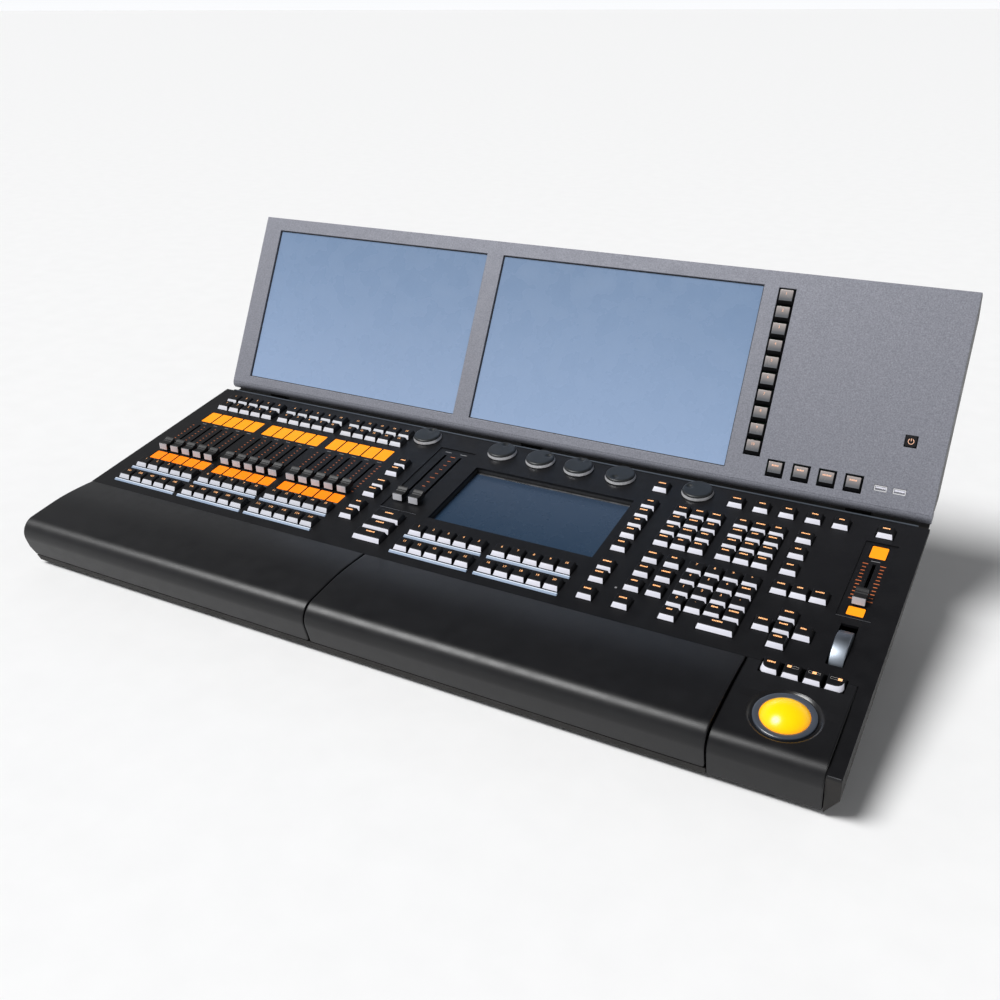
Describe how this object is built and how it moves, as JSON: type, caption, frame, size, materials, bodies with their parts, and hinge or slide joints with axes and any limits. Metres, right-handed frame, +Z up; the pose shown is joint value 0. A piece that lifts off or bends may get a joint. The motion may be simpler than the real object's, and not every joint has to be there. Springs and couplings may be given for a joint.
{
  "type": "lighting control desk",
  "caption": "Wedge-shaped stage lighting desk with a hinged twin-screen wing, slide faders, key grids, encoder knobs, a thumb wheel and a trackball.",
  "frame": {"origin": "middle of the footprint of the whole desk, on the surface that its feet stand on", "axes": "+X along the desk to the operator's right, +Y from the operator towards the back, +Z up"},
  "size_m": [0.965, 0.5072, 0.338],
  "materials": {
    "tray": "satin",
    "trim": "satin",
    "foot_rubber": "matte",
    "panel": "satin",
    "rest": "satin",
    "ball_ring": "gloss",
    "screen_dark": "gloss",
    "amber_display": "gloss",
    "light_bar": "satin",
    "housing_black": "satin",
    "board": "satin",
    "wing_face": "satin",
    "wing_back": "satin",
    "screen_pale": "satin",
    "socket_metal": "satin",
    "key_cap": "satin",
    "clear_key": "gloss",
    "wheel": "satin",
    "ball": "gloss",
    "fader_cap": "satin",
    "knob": "satin"
  },
  "bodies": {
    "console": {"bottom_tray": "tray", "rear_panel": "tray", "rear_trim": "trim", "rubber_feet": "foot_rubber", "control_panel": "panel", "left_palm_rest": "rest", "centre_palm_rest": "rest", "trackball_housing": "rest", "trackball_ring": "ball_ring", "command_screen": "screen_dark", "label_displays": "amber_display", "light_bars": "light_bar", "control_bodies": "housing_black", "circuit_boards": "board", "rear_connectors": "housing_black", "hinge_arms": "tray"},
    "screen_wing": {"wing_front_panel": "wing_face", "wing_back_cover": "wing_back", "wing_barrel": "wing_face", "wing_screens": "screen_pale", "wing_sockets": "socket_metal"},
    "playback_keys_upper": {"playback_keys_upper": "key_cap"},
    "playback_keys_lower": {"playback_keys_lower": "key_cap"},
    "page_keys": {"page_keys": "key_cap"},
    "executor_keys": {"executor_keys": "key_cap"},
    "screen_side_keys": {"screen_side_keys": "key_cap"},
    "command_keys": {"command_keys": "key_cap"},
    "edit_keys": {"edit_keys": "key_cap"},
    "number_keys": {"number_keys": "key_cap"},
    "cursor_keys": {"cursor_keys": "key_cap"},
    "trackball_keys": {"trackball_keys": "key_cap"},
    "wing_view_keys": {"wing_view_keys": "clear_key"},
    "wing_function_keys": {"wing_function_keys": "key_cap"},
    "power_button": {"power_button": "key_cap"},
    "fader_01": {"fader_01": "fader_cap"},
    "fader_02": {"fader_02": "fader_cap"},
    "fader_03": {"fader_03": "fader_cap"},
    "fader_04": {"fader_04": "fader_cap"},
    "fader_05": {"fader_05": "fader_cap"},
    "fader_06": {"fader_06": "fader_cap"},
    "fader_07": {"fader_07": "fader_cap"},
    "fader_08": {"fader_08": "fader_cap"},
    "fader_09": {"fader_09": "fader_cap"},
    "fader_10": {"fader_10": "fader_cap"},
    "fader_11": {"fader_11": "fader_cap"},
    "fader_12": {"fader_12": "fader_cap"},
    "fader_13": {"fader_13": "fader_cap"},
    "fader_14": {"fader_14": "fader_cap"},
    "fader_15": {"fader_15": "fader_cap"},
    "crossfader_left": {"crossfader_left": "fader_cap"},
    "crossfader_right": {"crossfader_right": "fader_cap"},
    "master_fader": {"master_fader": "fader_cap"},
    "encoder_knob_1": {"encoder_knob_1": "knob"},
    "encoder_knob_2": {"encoder_knob_2": "knob"},
    "encoder_knob_3": {"encoder_knob_3": "knob"},
    "encoder_knob_4": {"encoder_knob_4": "knob"},
    "encoder_knob_5": {"encoder_knob_5": "knob"},
    "encoder_knob_6": {"encoder_knob_6": "knob"},
    "level_wheel": {"level_wheel": "wheel"},
    "trackball": {"trackball": "ball"}
  },
  "joints": [
    {"name": "wing_hinge", "type": "hinge", "parent": "console", "child": "screen_wing", "pos_m": [0, 0.13545, 0.11811], "axis": [1, 0, 0], "range_deg": [-53.4, 15]},
    {"name": "playback_keys_upper_press", "type": "slide", "parent": "console", "child": "playback_keys_upper", "axis": [0, -0.1736, 0.9848], "range_m": [-0.0025, 0], "stiffness_N_per_m": 3600, "springref_m": 0.0025},
    {"name": "playback_keys_lower_press", "type": "slide", "parent": "console", "child": "playback_keys_lower", "axis": [0, -0.1736, 0.9848], "range_m": [-0.0025, 0], "stiffness_N_per_m": 3600, "springref_m": 0.0025},
    {"name": "page_keys_press", "type": "slide", "parent": "console", "child": "page_keys", "axis": [0, -0.1736, 0.9848], "range_m": [-0.0025, 0], "stiffness_N_per_m": 1080, "springref_m": 0.0025},
    {"name": "executor_keys_press", "type": "slide", "parent": "console", "child": "executor_keys", "axis": [0, -0.1736, 0.9848], "range_m": [-0.0025, 0], "stiffness_N_per_m": 2400, "springref_m": 0.0025},
    {"name": "screen_side_keys_press", "type": "slide", "parent": "console", "child": "screen_side_keys", "axis": [0, -0.1736, 0.9848], "range_m": [-0.0025, 0], "stiffness_N_per_m": 1080, "springref_m": 0.0025},
    {"name": "command_keys_press", "type": "slide", "parent": "console", "child": "command_keys", "axis": [0, -0.1736, 0.9848], "range_m": [-0.0025, 0], "stiffness_N_per_m": 2880, "springref_m": 0.0025},
    {"name": "edit_keys_press", "type": "slide", "parent": "console", "child": "edit_keys", "axis": [0, -0.1736, 0.9848], "range_m": [-0.0025, 0], "stiffness_N_per_m": 2280, "springref_m": 0.0025},
    {"name": "number_keys_press", "type": "slide", "parent": "console", "child": "number_keys", "axis": [0, -0.1736, 0.9848], "range_m": [-0.0025, 0], "stiffness_N_per_m": 2160, "springref_m": 0.0025},
    {"name": "cursor_keys_press", "type": "slide", "parent": "console", "child": "cursor_keys", "axis": [0, -0.1736, 0.9848], "range_m": [-0.0025, 0], "stiffness_N_per_m": 600, "springref_m": 0.0025},
    {"name": "trackball_keys_press", "type": "slide", "parent": "console", "child": "trackball_keys", "axis": [0, -0.1736, 0.9848], "range_m": [-0.0025, 0], "stiffness_N_per_m": 480, "springref_m": 0.0025},
    {"name": "wing_view_keys_press", "type": "slide", "parent": "screen_wing", "child": "wing_view_keys", "axis": [0, -0.8942, 0.4478], "range_m": [-0.0025, 0], "stiffness_N_per_m": 1200, "springref_m": 0.0025},
    {"name": "wing_function_keys_press", "type": "slide", "parent": "screen_wing", "child": "wing_function_keys", "axis": [0, -0.8942, 0.4478], "range_m": [-0.0025, 0], "stiffness_N_per_m": 480, "springref_m": 0.0025},
    {"name": "power_button_press", "type": "slide", "parent": "screen_wing", "child": "power_button", "axis": [0, -0.8942, 0.4478], "range_m": [-0.0025, 0], "stiffness_N_per_m": 120, "springref_m": 0.0025},
    {"name": "fader_01_slide", "type": "slide", "parent": "console", "child": "fader_01", "axis": [0, 0.9848, 0.1736], "range_m": [0, 0.06]},
    {"name": "fader_02_slide", "type": "slide", "parent": "console", "child": "fader_02", "axis": [0, 0.9848, 0.1736], "range_m": [0, 0.06]},
    {"name": "fader_03_slide", "type": "slide", "parent": "console", "child": "fader_03", "axis": [0, 0.9848, 0.1736], "range_m": [0, 0.06]},
    {"name": "fader_04_slide", "type": "slide", "parent": "console", "child": "fader_04", "axis": [0, 0.9848, 0.1736], "range_m": [0, 0.06]},
    {"name": "fader_05_slide", "type": "slide", "parent": "console", "child": "fader_05", "axis": [0, 0.9848, 0.1736], "range_m": [0, 0.06]},
    {"name": "fader_06_slide", "type": "slide", "parent": "console", "child": "fader_06", "axis": [0, 0.9848, 0.1736], "range_m": [0, 0.06]},
    {"name": "fader_07_slide", "type": "slide", "parent": "console", "child": "fader_07", "axis": [0, 0.9848, 0.1736], "range_m": [0, 0.06]},
    {"name": "fader_08_slide", "type": "slide", "parent": "console", "child": "fader_08", "axis": [0, 0.9848, 0.1736], "range_m": [0, 0.06]},
    {"name": "fader_09_slide", "type": "slide", "parent": "console", "child": "fader_09", "axis": [0, 0.9848, 0.1736], "range_m": [0, 0.06]},
    {"name": "fader_10_slide", "type": "slide", "parent": "console", "child": "fader_10", "axis": [0, 0.9848, 0.1736], "range_m": [0, 0.06]},
    {"name": "fader_11_slide", "type": "slide", "parent": "console", "child": "fader_11", "axis": [0, 0.9848, 0.1736], "range_m": [0, 0.06]},
    {"name": "fader_12_slide", "type": "slide", "parent": "console", "child": "fader_12", "axis": [0, 0.9848, 0.1736], "range_m": [0, 0.06]},
    {"name": "fader_13_slide", "type": "slide", "parent": "console", "child": "fader_13", "axis": [0, 0.9848, 0.1736], "range_m": [0, 0.06]},
    {"name": "fader_14_slide", "type": "slide", "parent": "console", "child": "fader_14", "axis": [0, 0.9848, 0.1736], "range_m": [0, 0.06]},
    {"name": "fader_15_slide", "type": "slide", "parent": "console", "child": "fader_15", "axis": [0, 0.9848, 0.1736], "range_m": [0, 0.06]},
    {"name": "crossfader_left_slide", "type": "slide", "parent": "console", "child": "crossfader_left", "axis": [0, 0.9848, 0.1736], "range_m": [0, 0.1]},
    {"name": "crossfader_right_slide", "type": "slide", "parent": "console", "child": "crossfader_right", "axis": [0, 0.9848, 0.1736], "range_m": [0, 0.1]},
    {"name": "master_fader_slide", "type": "slide", "parent": "console", "child": "master_fader", "axis": [0, 0.9848, 0.1736], "range_m": [0, 0.06]},
    {"name": "encoder_knob_1_turn", "type": "hinge", "parent": "console", "child": "encoder_knob_1", "pos_m": [-0.128, 0.09536, 0.10885], "axis": [0, -0.1736, 0.9848], "continuous": true},
    {"name": "encoder_knob_2_turn", "type": "hinge", "parent": "console", "child": "encoder_knob_2", "pos_m": [-0.0188, 0.09536, 0.10885], "axis": [0, -0.1736, 0.9848], "continuous": true},
    {"name": "encoder_knob_3_turn", "type": "hinge", "parent": "console", "child": "encoder_knob_3", "pos_m": [0.0342, 0.09536, 0.10885], "axis": [0, -0.1736, 0.9848], "continuous": true},
    {"name": "encoder_knob_4_turn", "type": "hinge", "parent": "console", "child": "encoder_knob_4", "pos_m": [0.0855, 0.09536, 0.10885], "axis": [0, -0.1736, 0.9848], "continuous": true},
    {"name": "encoder_knob_5_turn", "type": "hinge", "parent": "console", "child": "encoder_knob_5", "pos_m": [0.1396, 0.09536, 0.10885], "axis": [0, -0.1736, 0.9848], "continuous": true},
    {"name": "encoder_knob_6_turn", "type": "hinge", "parent": "console", "child": "encoder_knob_6", "pos_m": [0.2345, 0.09536, 0.10885], "axis": [0, -0.1736, 0.9848], "continuous": true},
    {"name": "level_wheel_turn", "type": "hinge", "parent": "console", "child": "level_wheel", "pos_m": [0.4433, -0.09108, 0.05364], "axis": [1, 0, 0], "continuous": true},
    {"name": "trackball_roll", "type": "hinge", "parent": "console", "child": "trackball", "pos_m": [0.4213, -0.20087, 0.03992], "axis": [1, 0, 0], "continuous": true}
  ]
}
